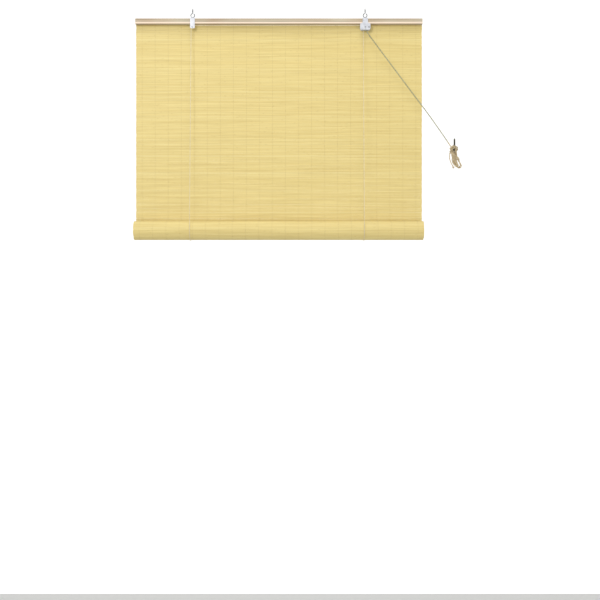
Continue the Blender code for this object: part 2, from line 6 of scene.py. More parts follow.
import bmesh
import bpy
from mathutils import Matrix, Vector, noise
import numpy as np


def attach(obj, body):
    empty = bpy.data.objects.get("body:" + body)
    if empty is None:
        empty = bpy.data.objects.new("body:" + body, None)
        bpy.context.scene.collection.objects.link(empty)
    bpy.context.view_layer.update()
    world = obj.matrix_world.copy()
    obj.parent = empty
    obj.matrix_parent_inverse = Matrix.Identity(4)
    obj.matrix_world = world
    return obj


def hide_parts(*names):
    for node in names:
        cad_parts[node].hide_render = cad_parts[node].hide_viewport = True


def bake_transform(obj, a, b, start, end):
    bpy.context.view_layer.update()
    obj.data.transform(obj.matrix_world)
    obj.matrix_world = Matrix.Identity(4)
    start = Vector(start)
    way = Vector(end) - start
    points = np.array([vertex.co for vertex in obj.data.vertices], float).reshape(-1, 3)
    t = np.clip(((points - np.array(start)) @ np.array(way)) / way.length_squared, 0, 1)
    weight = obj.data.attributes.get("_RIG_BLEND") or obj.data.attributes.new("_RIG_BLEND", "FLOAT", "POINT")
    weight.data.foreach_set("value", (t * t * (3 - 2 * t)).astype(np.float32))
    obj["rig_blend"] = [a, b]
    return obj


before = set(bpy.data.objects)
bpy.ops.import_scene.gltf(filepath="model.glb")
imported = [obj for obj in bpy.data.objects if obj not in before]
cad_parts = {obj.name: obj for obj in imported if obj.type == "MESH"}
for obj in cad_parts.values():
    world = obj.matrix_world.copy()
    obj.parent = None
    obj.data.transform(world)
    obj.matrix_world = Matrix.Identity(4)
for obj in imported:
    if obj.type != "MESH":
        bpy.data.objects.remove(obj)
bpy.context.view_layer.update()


# Studio: a white paper sweep a long way below and behind the blind, lit through from behind where
# it stands up. One soft lamp is at the upper left, a wide one overhead and a weak one low on the
# right. The camera is level and stands well below the headrail.
def linear(code):
    """An sRGB hex colour as linear red, green and blue, with alpha 1."""
    parts = [int(code[i : i + 2], 16) / 255 for i in (1, 3, 5)]
    low_high = [(p / 12.92, ((p + 0.055) / 1.055) ** 2.4) for p in parts]
    return (*(a if p <= 0.04045 else b for p, (a, b) in zip(parts, low_high)), 1.0)


def finish(name, **sockets):
    """A Principled material, with each number or colour set on the shader's own socket."""
    made = bpy.data.materials.new(name)
    made.use_nodes = True
    shader = made.node_tree.nodes["Principled BSDF"]
    for socket, value in sockets.items():
        shader.inputs[socket.replace("_", " ")].default_value = value
    return made


sweep_profile = ((-7, -3.6), (4.5, -3.6), (6, -2.1), (6, 6))
upright_from = 5
sweep = bmesh.new()
sweep_edges = []
for end in (-7.0, 7.0):
    line = [sweep.verts.new((end, y, z)) for y, z in sweep_profile]
    sweep_edges.append([sweep.edges.new(pair) for pair in zip(line, line[1:])])
bmesh.ops.bridge_loops(sweep, edges=sweep_edges[0] + sweep_edges[1])
corner = [
    e
    for e in sweep.edges
    if abs(e.verts[0].co.x - e.verts[1].co.x) > 1
    and 4 < e.verts[0].co.y < 6.1
    and e.verts[0].co.z < 0
]
bmesh.ops.bevel(
    sweep,
    geom=corner,
    offset=0.9,
    offset_type="OFFSET",
    affect="EDGES",
    segments=8,
    profile=0.5,
    material=-1,
)
for face in sweep.faces:
    face.material_index = int(face.calc_center_median().y > upright_from)
sweep_mesh = bpy.data.meshes.new("studio_sweep")
sweep.to_mesh(sweep_mesh)
sweep.free()
sweep_mesh.shade_smooth()
studio_sweep = bpy.data.objects.new("studio_sweep", sweep_mesh)
bpy.context.scene.collection.objects.link(studio_sweep)
sweep_paper = finish("white paper sweep", Base_Color=linear("#F2F2F0"), Roughness=0.9)
sweep_mesh.materials.append(sweep_paper)
lit_paper = finish(
    "white paper lit from behind",
    Base_Color=linear("#F6F6F4"),
    Roughness=0.9,
    Emission_Color=linear("#FFFFFF"),
    Emission_Strength=0.5,
)
sweep_mesh.materials.append(lit_paper)

world = bpy.data.worlds.new("studio")
bpy.context.scene.world = world
world.use_nodes = True
world.node_tree.nodes["Background"].inputs["Color"].default_value = linear("#FFFFFF")
world.node_tree.nodes["Background"].inputs["Strength"].default_value = 0.56
blind_middle = Vector((0, 0, -0.35))
for name, place, size, power in (
    ("soft_lamp", (-0.9, -2.5, 0.5), 0.8, 24),
    ("top_lamp", (0.3, -1.7, 2.4), 1.8, 33),
    ("low_lamp", (0.6, -2.8, -1.2), 1.2, 17),
):
    lamp = bpy.data.lights.new(name, "AREA")
    lamp.shape = "DISK"
    lamp.size = size
    lamp.energy = power
    lamp_object = bpy.data.objects.new(name, lamp)
    lamp_object.location = place
    aim = blind_middle - Vector(place)
    lamp_object.rotation_euler = aim.to_track_quat("-Z", "Y").to_euler()
    bpy.context.scene.collection.objects.link(lamp_object)

camera = bpy.data.cameras.new("camera")
camera.lens = 60.0
camera_object = bpy.data.objects.new("camera", camera)
camera_object.location = (0.0588, -2.7913, -0.8005)
camera_object.rotation_euler = (math.radians(90), 0, 0)
bpy.context.scene.collection.objects.link(camera_object)
bpy.context.scene.camera = camera_object
bpy.context.scene.view_settings.view_transform = "Standard"


# Pull cord: the two lift cords leave the lock twisted together, 3.2 mm thick, and hang over to
# the wall hook. A hank of seven turns lies on it, and two more turns hold the hank together. The
# end is knotted. Undyed cotton, matt, slightly hairy and mottled from beige to straw.
def add_node(tree, kind, sockets=(), links=(), stops=(), **settings):
    """Adds a node to a material: its own settings, its sockets' values, its links and, on a
    colour ramp, its (position, hex colour) stops. On a colour Mix node, socket 0 is the factor,
    and 6 and 7 are the two colours.
    """
    made = tree.nodes.new(kind)
    for setting, value in settings.items():
        setattr(made, setting, value)
    for socket, value in dict(sockets).items():
        made.inputs[socket].default_value = value
    for socket, source in dict(links).items():
        tree.links.new(source, made.inputs[socket])
    for at, _ in stops[2:]:
        made.color_ramp.elements.new(at)
    for n, (at, code) in enumerate(stops):
        made.color_ramp.elements[n].position = at
        made.color_ramp.elements[n].color = linear(code)
    return made


cotton = finish("undyed cotton cord", Roughness=0.92, Sheen_Weight=0.35, Sheen_Roughness=0.5)
tree = cotton.node_tree
shader = tree.nodes["Principled BSDF"]
place = add_node(tree, "ShaderNodeTexCoord").outputs["Object"]
# Slubs in the yarn, about 4 mm long.
mottle = add_node(
    tree,
    "ShaderNodeTexNoise",
    {"Scale": 260.0, "Detail": 4.0, "Roughness": 0.7},
    {"Vector": place},
)
cord_shade = add_node(
    tree,
    "ShaderNodeValToRGB",
    links={"Fac": mottle.outputs["Fac"]},
    stops=[(0.3, "#AA946D"), (0.7, "#E6D5AE")],
)
# The length between the lock and the hook is greyer than the hank.
split = add_node(tree, "ShaderNodeSeparateXYZ", links={"Vector": place})
straight_run_share = add_node(
    tree,
    "ShaderNodeMapRange",
    {"From Min": 0.466, "From Max": 0.474, "To Min": 1.0, "To Max": 0.0},
    {"Value": split.outputs["X"]},
)
greyed = add_node(
    tree,
    "ShaderNodeMix",
    {7: linear("#CBDEE1")},
    {0: straight_run_share.outputs[0], 6: cord_shade.outputs["Color"]},
    data_type="RGBA",
    blend_type="MULTIPLY",
)
tree.links.new(greyed.outputs[2], shader.inputs["Base Color"])
# Yarn hairs about 0.3 mm apart.
hairs = add_node(tree, "ShaderNodeTexNoise", {"Scale": 3000.0, "Detail": 2.0}, {"Vector": place})
bump = add_node(
    tree,
    "ShaderNodeBump",
    {"Strength": 0.5, "Distance": 0.0003},
    {"Height": hairs.outputs["Fac"]},
)
tree.links.new(bump.outputs["Normal"], shader.inputs["Normal"])


def smooth_line(points, step):
    """Points about step apart on the smooth curve through a route's own points."""
    route = [Vector(p) for p in points]
    ends = [2 * route[0] - route[1], *route, 2 * route[-1] - route[-2]]
    line = []
    for before, start, end, after in zip(ends, ends[1:], ends[2:], ends[3:]):
        count = max(1, round((end - start).length / step))
        for i in range(count):
            t = i / count
            line.append(
                0.5
                * (
                    2 * start
                    + (end - before) * t
                    + (2 * before - 5 * start + 4 * end - after) * t**2
                    + (3 * start - before - 3 * end + after) * t**3
                )
            )
    return [*line, route[-1]]


def laid_cord(name, line, radius, strands, pitch, sides=1):
    """A mesh of round strands wound about a line, each turn of the lay pitch long."""
    curve = bpy.data.curves.new(name, "CURVE")
    curve.dimensions = "3D"
    curve.bevel_depth = radius / 2
    curve.bevel_resolution = sides
    curve.use_fill_caps = True
    across, rings, along = None, [], 0.0
    for i, point in enumerate(line):
        ahead = (line[min(i + 1, len(line) - 1)] - line[max(i - 1, 0)]).normalized()
        if across is None:
            across = ahead.orthogonal()
        across = (across - ahead * across.dot(ahead)).normalized()
        if i:
            along += (point - line[i - 1]).length
        rings.append((point, across.copy(), ahead.cross(across), along))
    for n in range(strands):
        spline = curve.splines.new("POLY")
        spline.points.add(len(rings) - 1)
        for spot, (point, side, up, far) in zip(spline.points, rings):
            turn = math.tau * (far / pitch + n / strands)
            offset = (side * math.cos(turn) + up * math.sin(turn)) * radius / 2
            spot.co = (*(point + offset), 1.0)
    bare = bpy.data.objects.new(name, curve)
    mesh = bpy.data.meshes.new_from_object(bare)
    bpy.data.curves.remove(curve)
    mesh.name = name
    mesh.shade_smooth()
    return mesh


def add_piece(name, mesh, look):
    """Links a mesh as a piece of the blind, with its material."""
    mesh.materials.clear()
    mesh.materials.append(look)
    made = bpy.data.objects.new(name, mesh)
    bpy.context.scene.collection.objects.link(made)
    return made


cord_out = Vector((0.2455, -0.0047, -0.0477))
cord_end = Vector((0.4800, -0.0060, -0.3685))
pull_route = [
    cord_out,
    cord_out + Vector((0.0002, 0, -0.0040)),
    cord_out + Vector((0.0019, 0, -0.0085)),
    cord_out + Vector((0.0060, 0, -0.0148)),
]
pull_route += [pull_route[-1].lerp(cord_end, share) for share in (0.25, 0.5, 0.75)]
# Each turn of the hank goes down its left side, round its bottom, up its right side and over the
# hook's arm. Four turns lie on the arm and three on those, and the whole hank is twisted half
# round about its own middle line, which sags to the left.
hank_middle = [Vector((0.4868, -0.3780)), Vector((0.4836, -0.4045)), Vector((0.4985, -0.4258))]
hank_length = 0.052
hank_y = -0.0062
hank_twist = 165


def in_hank(across, down, deep):
    """The place of a point of the straight hank once it is bent along its middle and twisted."""
    share = min(1.0, max(0.0, down / hank_length))
    first, second = (a.lerp(b, share) for a, b in zip(hank_middle, hank_middle[1:]))
    ahead = (second - first).normalized()
    middle = first.lerp(second, share) + ahead * (down - share * hank_length)
    eased = min(1.0, max(0.0, (share - 0.06) / 0.88))
    twist = math.radians(hank_twist) * eased * eased * (3 - 2 * eased)
    side = across * math.cos(twist) - deep * math.sin(twist)
    depth = across * math.sin(twist) + deep * math.cos(twist)
    return Vector((middle.x - ahead.y * side, hank_y + depth, middle.y + ahead.x * side))


# Each turn: how far in front, how far it slumps back, half its width over the arm and at its
# foot, its length, and how far its foot lies aside.
for deep, slump, reach, round_reach, length, aside in (
    (0.0042, 0.0015, 0.0042, 0.0034, 0.0500, 0.0036),
    (0.0010, 0.0015, 0.0042, 0.0040, 0.0545, 0.0020),
    (-0.0022, 0.0015, 0.0042, 0.0034, 0.0470, 0.0044),
    (-0.0054, 0.0015, 0.0042, 0.0038, 0.0525, 0.0030),
    (-0.0038, -0.008, 0.0072, 0.0056, 0.0600, -0.0022),
    (-0.0006, -0.008, 0.0072, 0.0062, 0.0572, -0.0010),
    (0.0026, -0.008, 0.0072, 0.0054, 0.0612, -0.0018),
):
    low = length - round_reach
    left = aside - round_reach
    ring = [(-reach + (left + reach) * s, low * s) for s in (0.0, 0.2, 0.4, 0.6, 0.8)]
    for a in (180, 144, 108, 72, 36, 0):
        turn = math.radians(a)
        ring.append((aside + round_reach * math.cos(turn), low + round_reach * math.sin(turn)))
    ring += [(reach + (aside + round_reach - reach) * s, low * s) for s in (0.8, 0.6, 0.4, 0.2)]
    for a in (0, 36, 72, 108, 144):
        turn = math.radians(a)
        ring.append((reach * math.cos(turn), -reach * math.sin(turn)))
    pull_route += [in_hank(x, down, deep + slump * max(0.0, down) / length) for x, down in ring]
# The end goes twice round the hank and the front of the hook, then hangs down on the left.
# Its height is given at each quarter turn.
collar_heights = [-0.3800, -0.3745, -0.3775, -0.3850, -0.3878, -0.3790, -0.3822, -0.3895, -0.3925]
collar_middle, collar_reach = (0.4862, -0.0103), (0.0108, 0.0121)
last = len(collar_heights) - 1
for n, height in enumerate(collar_heights):
    for part in (0, 1) if n < last else (0,):
        turn = math.radians(180 + 90 * n + 45 * part)
        level = height + (collar_heights[min(n + 1, last)] - height) * part / 2
        x = collar_middle[0] + collar_reach[0] * math.cos(turn)
        y = collar_middle[1] + collar_reach[1] * math.sin(turn)
        pull_route.append(Vector((x, y, level)))
pull_route += [
    Vector(p)
    for p in (
        (0.4752, -0.0085, -0.3995),
        (0.4757, -0.0065, -0.4065),
        (0.4776, -0.0060, -0.4145),
        (0.4812, -0.0060, -0.4222),
        (0.4848, -0.0060, -0.4288),
    )
]
pull_line = smooth_line(pull_route, 0.0018)
pull_mesh = laid_cord("pull_cord_and_hank", pull_line, 0.0016, 2, 0.014, 2)
pull_cord = add_piece("pull_cord_and_hank", pull_mesh, cotton)


def knot_steps(length, least, swell):
    """Turn, reach and way along for a knot that winds 2.2 times and swells at its middle."""
    return [
        (
            math.tau * 2.2 * i / 28,
            least + swell * math.sin(math.pi * i / 28),
            0.0006 + length * i / 28,
        )
        for i in range(29)
    ]


# The end knot: the cord's last centimetre tied in two turns round itself.
tail_end = pull_line[-1]
tail_run = (pull_line[-1] - pull_line[-3]).normalized()
knot_side = tail_run.orthogonal()
knot_up = tail_run.cross(knot_side)
knot_route = []
for turn, reach, along in knot_steps(0.0042, 0.0013, 0.0006):
    out = knot_side * math.cos(turn) + knot_up * math.sin(turn)
    knot_route.append(tail_end + tail_run * along + out * reach)
end_knot = laid_cord("pull_cord_knot", knot_route, 0.0011, 2, 0.006, 2)
end_knot = add_piece("pull_cord_knot", end_knot, cotton)
for piece in (pull_cord, end_knot):
    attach(piece, "headrail_and_cords")
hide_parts("pull_cord", "cord_hank", "cord_tail")
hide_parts("cord_end_knot")


# Lift cords: two 1.6 mm cotton cords, laid from three strands. Each is knotted on top of the
# lath, goes down behind the mat, round the roll and up its front to its pulley. The upright
# lengths shorten and lengthen as the roll moves, so each is cut into short lengths that follow it.
# The cotton is the pull cord's own, painted paler for the light that these thin cords catch, with flecks
# about 3 mm long.
fine_cotton = finish("cotton cord painted paler", Roughness=0.9, Sheen_Weight=0.35, Sheen_Roughness=0.5)
tree = fine_cotton.node_tree
place = add_node(tree, "ShaderNodeTexCoord").outputs["Object"]
fleck = add_node(tree, "ShaderNodeTexNoise", {"Scale": 300.0, "Detail": 4.0}, {"Vector": place})
# Both stops are painted paler than the pull cord's: painted light on the thin lift cords.
fleck_shade = add_node(
    tree,
    "ShaderNodeValToRGB",
    links={"Fac": fleck.outputs["Fac"]},
    stops=[(0.3, "#CDBF98"), (0.7, "#EFE5C8")],
)
tree.links.new(fleck_shade.outputs["Color"], tree.nodes["Principled BSDF"].inputs["Base Color"])


def even_line(points, step):
    """Points step apart along straight runs between the points."""
    line = []
    for start, end in zip(points, points[1:]):
        count = max(1, round((end - start).length / step))
        line += [start.lerp(end, i / count) for i in range(count)]
    return [*line, points[-1]]


def stretch_steps(top, bottom, shares):
    """Lengths (top, bottom, start, end) between top and bottom whose blends join up evenly.

    shares are how far the roll's motion reaches at each cut, from 0 at the top to 1 at the roll.
    A blend's weight is 3 t^2 - 2 t^3, so each cut's t is found from its share by halving.
    """

    def turned_back(share):
        low, high = 0.0, 1.0
        for _ in range(40):
            middle = (low + high) / 2
            if middle * middle * (3 - 2 * middle) < share:
                low = middle
            else:
                high = middle
        return low

    steps = []
    for upper, lower in zip(shares, shares[1:]):
        z_upper, z_lower = (top + (bottom - top) * s for s in (upper, lower))
        t_upper, t_lower = turned_back(upper), turned_back(lower)
        whole = (z_lower - z_upper) / (t_lower - t_upper)
        start = z_upper - t_upper * whole
        steps.append((z_upper, z_lower, start, start + whole))
    return steps


roll_axis = Vector((0, -0.0194, -0.6076))
cord_x = {"left": -0.2445, "right": 0.2355}
sling_reach, sling_back_reach = 0.0281, 0.0300
cord_radius, strands, lay = 0.0008, 3, 0.005
cord_cuts = (0, 0.03, 0.12, 0.3, 0.5, 0.7, 0.88, 0.97, 1)
for side, groove_y, pulley_z in (("left", -0.0063, -0.0398), ("right", -0.0031, -0.0408)):
    x = cord_x[side]
    front_line = even_line(
        [
            Vector((x, groove_y, pulley_z)),
            Vector((x, groove_y, pulley_z - 0.0066)),
            Vector((x, roll_axis.y - sling_reach, roll_axis.z)),
        ],
        0.0007,
    )
    back_line = even_line(
        [
            Vector((x, 0.0128, -0.0176)),
            Vector((x, 0.0128, -0.0328)),
            Vector((x, 0.0106, roll_axis.z)),
        ],
        0.0007,
    )
    # The first length under the pulley stays with it, and the last one, in front of the roll,
    # stays with the roll, so that the raised roll doesn't cut through the cord.
    for leg, line, first, last in (
        ("front", front_line, pulley_z - 0.0066, roll_axis.z + 0.018),
        ("back", back_line, -0.0328, roll_axis.z),
    ):
        parts = stretch_steps(first, last, cord_cuts)
        parts = [(line[0].z, first, None, None), *parts]
        if leg == "front":
            parts.append((last, roll_axis.z, None, None))
        for n, (upper, lower, start, end) in enumerate(parts):
            stretch = [p for p in line if lower - 0.0008 <= p.z <= upper + 0.0001]
            name = f"lift_cord_{leg}_{side}_{n + 1}"
            mesh = laid_cord(name, stretch, cord_radius, strands, lay)
            part = add_piece(name, mesh, fine_cotton)
            if start is None:
                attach(part, "headrail_and_cords" if n == 0 else "slings")
            else:
                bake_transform(part, "headrail_and_cords", "slings", start=(x, 0, start), end=(x, 0, end))
            if n == 0:
                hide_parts(f"lift_cord_{leg}_{side}")
    sling_route = []
    for i in range(25):
        turn = math.radians(180 + 180 * i / 24)
        out = max(0.0, (i - 12) / 12)
        reach = sling_reach + (sling_back_reach - sling_reach) * out * out * (3 - 2 * out)
        sling_route.append(roll_axis + Vector((x, reach * math.cos(turn), reach * math.sin(turn))))
    name = f"lift_cord_sling_{side}_laid"
    sling_line = smooth_line(sling_route, 0.0007)
    sling = laid_cord(name, sling_line, cord_radius, strands, lay)
    sling = add_piece(name, sling, fine_cotton)
    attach(sling, "slings")
    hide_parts(f"lift_cord_sling_{side}")


# The cords' last lengths, over the pulleys: the left one crosses under the headrail to the lock,
# the right one goes straight over the sheave. Both run down past the cam into the pull cord.
def quarter(centre, reach, start, end, y):
    """Points on an arc about a pulley's axle, from start to end in degrees."""
    turns = [math.radians(start + (end - start) * i / 12) for i in range(13)]
    x, z = centre
    return [Vector((x + reach * math.cos(t), y, z + reach * math.sin(t))) for t in turns]


pulley_middle, pulley_reach = (-0.2405, -0.0398), 0.004
sheave_middle, sheave_reach = (0.2405, -0.0408), 0.005
front_lane, back_lane = -0.0063, -0.0031
mouth_x, mouth_z = 0.2455, -0.0474
for name, node, route in (
    (
        "lift_cord_crossing",
        "lift_cord_cross_left",
        quarter(pulley_middle, pulley_reach, 180, 90, front_lane)
        + quarter(sheave_middle, sheave_reach, 90, 0, front_lane)
        + [Vector((mouth_x, -0.0058, mouth_z))],
    ),
    (
        "lift_cord_over_sheave",
        "lift_cord_top_right",
        quarter(sheave_middle, sheave_reach, 180, 90, back_lane)
        + quarter(sheave_middle, sheave_reach, 90, 0, back_lane)[1:]
        + [Vector((mouth_x, -0.0036, mouth_z))],
    ),
):
    run = laid_cord(name, even_line(route, 0.0007), cord_radius, strands, lay)
    run = add_piece(name, run, fine_cotton)
    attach(run, "headrail_and_cords")
    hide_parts(node)

# Stop knots on the lath: each lift cord's end tied in two tight turns, with a short frayed stub.
for side, x in cord_x.items():
    foot = Vector((x, 0.0128, -0.0174))
    knot_route = [
        foot + Vector((reach * math.cos(turn), reach * math.sin(turn), along))
        for turn, reach, along in knot_steps(0.0026, 0.0010, 0.0005)
    ]
    knot_route += [foot + Vector((0.0003, 0.0002, 0.0040)), foot + Vector((0.0008, 0.0002, 0.0062))]
    knot = laid_cord(f"lath_knot_{side}", knot_route, cord_radius, strands, lay)
    knot = add_piece(f"lath_knot_{side}", knot, fine_cotton)
    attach(knot, "headrail_and_cords")
    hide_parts(f"cord_knot_{side}")


# Mat: strips split from bamboo culms, 2 mm wide, with the skin planed off. Straw-coloured cotton
# warps, a pair every 36 mm, cross between the strips and hold them side by side. The strips vary
# in width, shade and straightness, and each has a darker knuckle about every 35 cm.
bamboo = finish("split bamboo strip", Roughness=0.5, Specular_IOR_Level=0.4)
tree = bamboo.node_tree
shader = tree.nodes["Principled BSDF"]
tone = add_node(tree, "ShaderNodeAttribute", attribute_name="strip").outputs["Fac"]
place = add_node(tree, "ShaderNodeTexCoord").outputs["Object"]
split = add_node(tree, "ShaderNodeSeparateXYZ", links={"Vector": place})
base = add_node(
    tree,
    "ShaderNodeValToRGB",
    links={"Fac": tone},
    stops=[(0.0, "#E4D089"), (0.35, "#E8D590"), (0.7, "#EAD997"), (1.0, "#EDDEA1")],
)
offset = add_node(tree, "ShaderNodeMath", {1: 63.0}, {0: tone}, operation="MULTIPLY")
drift = add_node(
    tree,
    "ShaderNodeMath",
    {1: 2.9},
    {0: split.outputs["X"], 2: offset.outputs[0]},
    operation="MULTIPLY_ADD",
)
# Slow change of shade along a strip, over about 30 cm.
slow = add_node(
    tree,
    "ShaderNodeTexNoise",
    {"Scale": 1.3, "Detail": 3.0},
    {"W": drift.outputs[0]},
    noise_dimensions="1D",
)
slow_shade = add_node(
    tree,
    "ShaderNodeValToRGB",
    links={"Fac": slow.outputs["Fac"]},
    stops=[(0.3, "#EBE6DA"), (0.7, "#FFFFFF")],
)
aged = add_node(
    tree,
    "ShaderNodeMix",
    {0: 0.6},
    {6: base.outputs["Color"], 7: slow_shade.outputs["Color"]},
    data_type="RGBA",
    blend_type="MULTIPLY",
)
knuckle = add_node(
    tree,
    "ShaderNodeTexVoronoi",
    {"Scale": 1.0, "Randomness": 0.5},
    {"W": drift.outputs[0]},
    voronoi_dimensions="1D",
)
knuckle_mark = add_node(
    tree,
    "ShaderNodeMapRange",
    {"From Min": 0.003, "From Max": 0.010, "To Min": 0.16, "To Max": 0.0},
    {"Value": knuckle.outputs["Distance"]},
)
marked = add_node(
    tree,
    "ShaderNodeMix",
    {7: linear("#B0914E")},
    {0: knuckle_mark.outputs[0], 6: aged.outputs[2]},
    data_type="RGBA",
)
# Fibres: 0.4 mm apart across the strip, drawn about 60 mm long.
along_fibre = add_node(
    tree,
    "ShaderNodeMapping",
    {"Scale": (16.0, 2400.0, 2400.0)},
    {"Vector": place},
)
fibre = add_node(
    tree,
    "ShaderNodeTexNoise",
    {"Scale": 1.0, "Detail": 2.0},
    {"Vector": along_fibre.outputs[0]},
)
fibre_shade = add_node(
    tree,
    "ShaderNodeValToRGB",
    links={"Fac": fibre.outputs["Fac"]},
    stops=[(0.3, "#E9E2D2"), (0.65, "#FFFFFF")],
)
fibred = add_node(
    tree,
    "ShaderNodeMix",
    {0: 0.6},
    {6: marked.outputs[2], 7: fibre_shade.outputs["Color"]},
    data_type="RGBA",
    blend_type="MULTIPLY",
)
tree.links.new(fibred.outputs[2], shader.inputs["Base Color"])
bump = add_node(
    tree,
    "ShaderNodeBump",
    {"Strength": 0.4, "Distance": 0.0002},
    {"Height": fibre.outputs["Fac"]},
)
tree.links.new(bump.outputs["Normal"], shader.inputs["Normal"])

warp_cotton = finish("straw-coloured cotton warp", Roughness=0.95, Sheen_Weight=0.2)
tree = warp_cotton.node_tree
place = add_node(tree, "ShaderNodeTexCoord").outputs["Object"]
# Lint in patches about 3 mm long.
lint = add_node(tree, "ShaderNodeTexNoise", {"Scale": 340.0, "Detail": 2.0}, {"Vector": place})
lint_shade = add_node(
    tree,
    "ShaderNodeValToRGB",
    links={"Fac": lint.outputs["Fac"]},
    stops=[(0.3, "#AC925C"), (0.7, "#D2BC82")],
)
tree.links.new(lint_shade.outputs["Color"], tree.nodes["Principled BSDF"].inputs["Base Color"])

blind_width = 0.800
strip_pitch, strip_height, strip_depth = 0.0022, 0.00213, 0.0013
mat_y = 0.0087
mat_top = -0.0181
warp_x = [0.383 * (2 * n / 21 - 1) for n in range(22)]
warp_radius, warp_gap, warp_swing = 0.00038, 0.0008, 0.00085
chance = random.Random(11)


def split_strip(length, cuts):
    """One strip along X, its long edges taken off, cut lengthways so that it can wander."""
    bar = bmesh.new()
    bmesh.ops.create_cube(bar, size=1.0)
    bmesh.ops.scale(bar, vec=(length, strip_depth, strip_height), verts=bar.verts[:])
    long_edges = [e for e in bar.edges if abs(e.verts[0].co.x - e.verts[1].co.x) > length / 2]
    bmesh.ops.bevel(
        bar,
        geom=long_edges,
        offset=0.00022,
        offset_type="OFFSET",
        affect="EDGES",
        segments=1,
        profile=0.5,
        material=-1,
    )
    if cuts:
        long_edges = [e for e in bar.edges if abs(e.verts[0].co.x - e.verts[1].co.x) > length / 2]
        bmesh.ops.subdivide_edges(bar, edges=long_edges, cuts=cuts, use_grid_fill=True)
    mesh = bpy.data.meshes.new("strip")
    bar.to_mesh(mesh)
    bar.free()
    return mesh


def lay_strip(mat, strip, shade, centre, turn, wander=1.0):
    """Adds a strip to a mat at centre, turned about X, each one a little different."""
    layer = mat.verts.layers.float["strip"]
    before = len(mat.verts)
    mat.from_mesh(strip)
    mat.verts.ensure_lookup_table()
    wide, deep = chance.uniform(0.98, 1.02), chance.uniform(0.95, 1.05)
    shift, row = chance.uniform(-0.0006, 0.0006) * wander, chance.uniform(0, 900)
    spin = Matrix.Rotation(-turn, 3, "X")
    for vert in mat.verts[before:]:
        x, y, z = vert.co
        bend = noise.noise(Vector((3.5 * x, row, 0)))
        lift = noise.noise(Vector((3.5 * x, row, 9)))
        local = Vector((0, y * deep + 0.00012 * lift * wander, z * wide + 0.00010 * bend * wander))
        vert.co = centre + spin @ local + Vector((x + shift, 0, 0))
        vert[layer] = shade


def strip_shade(row):
    """Strips come in runs of like shade, from the same culm, with odd ones between."""
    short_run = 0.08 * noise.noise(Vector((0.33 * row, 4.2, 0)))
    long_run = 0.04 * noise.noise(Vector((0.06 * row, 8.1, 0)))
    run = 0.5 + short_run + long_run
    return min(1.0, max(0.0, run + chance.gauss(0.0, 0.14)))


def warps(name, rows):
    """Pairs of warps through the strips, one in front of each strip and one behind it.

    rows holds (centre, outward direction) for each strip in turn.
    """
    curve = bpy.data.curves.new(name, "CURVE")
    curve.dimensions = "3D"
    curve.bevel_depth = warp_radius
    curve.bevel_resolution = 0
    curve.use_fill_caps = True
    for x in warp_x:
        for first in (0, 1):
            spline = curve.splines.new("POLY")
            spline.points.add(len(rows) - 1)
            aside = Vector((x + (warp_gap / 2 if first else -warp_gap / 2), 0, 0))
            for i, (centre, outward) in enumerate(rows):
                out = warp_swing if (i + first) % 2 else -warp_swing
                spline.points[i].co = (*(centre + outward * out + aside), 1.0)
    bare = bpy.data.objects.new(name, curve)
    mesh = bpy.data.meshes.new_from_object(bare)
    bpy.data.curves.remove(curve)
    return mesh


def woven(name, mat, warp_mesh):
    """Joins the strips and their warps into one piece, bamboo first and cotton second."""
    strips = len(mat.faces)
    mat.from_mesh(warp_mesh)
    mat.faces.ensure_lookup_table()
    for face in mat.faces[strips:]:
        face.smooth = True
    mesh = bpy.data.meshes.new(name)
    mat.to_mesh(mesh)
    mat.free()
    bpy.data.meshes.remove(warp_mesh)
    made = add_piece(name, mesh, bamboo)
    mesh.materials.append(warp_cotton)
    for face in mesh.polygons[strips:]:
        face.material_index = 1
    return made


long_strip = split_strip(blind_width, 6)
outward = Vector((0, 1, 0))
row_count = round((mat_top - roll_axis.z) / strip_pitch)
pitch = (mat_top - roll_axis.z) / row_count
rows = [Vector((0, mat_y, mat_top - pitch * (n + 0.5))) for n in range(row_count)]
mat_cuts = (0, 0.0222, 0.06, 0.13, 0.25, 0.4, 0.6, 0.75, 0.87, 0.94, 0.978, 1)
for n, (upper, lower, start, end) in enumerate(stretch_steps(mat_top, roll_axis.z, mat_cuts)):
    mat = bmesh.new()
    mat.verts.layers.float.new("strip")
    here = [i for i, row in enumerate(rows) if lower <= row.z < upper]
    for i in here:
        lay_strip(mat, long_strip, strip_shade(i), rows[i], 0.0)
    # The warps run on to the next length's first strip.
    through = [*here, *([here[-1] + 1] if here[-1] + 1 < row_count else [])]
    if here[0] % 2:
        through = [here[0] - 1, *through]
    name = f"mat_length_{n + 1}"
    length = woven(name, mat, warps(name, [(rows[i], outward) for i in through]))
    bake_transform(length, "headrail_and_cords", "slings", start=(0, 0, start), end=(0, 0, end))
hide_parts("mat_hanging")

# Where the mat turns in under the roll: it stays with the slings while the roll turns inside it.
mat = bmesh.new()
mat.verts.layers.float.new("strip")
turn_in = []
roll_reach, layer, lead_in_strips = 0.0262, 0.00172, 18
for n in range(lead_in_strips):
    turn = (n + 0.5) * 0.079
    ease = min(1.0, turn / 1.4)
    reach = sling_reach - (sling_reach - roll_reach) * ease * ease * (3 - 2 * ease)
    out = Vector((0, math.cos(turn), -math.sin(turn)))
    turn_in.append((roll_axis + out * reach, out))
    lay_strip(mat, long_strip, strip_shade(row_count + n), turn_in[-1][0], turn)
lead_in = woven("mat_lead_in", mat, warps("mat_lead_in", [(rows[-1], outward), *turn_in]))
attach(lead_in, "slings")

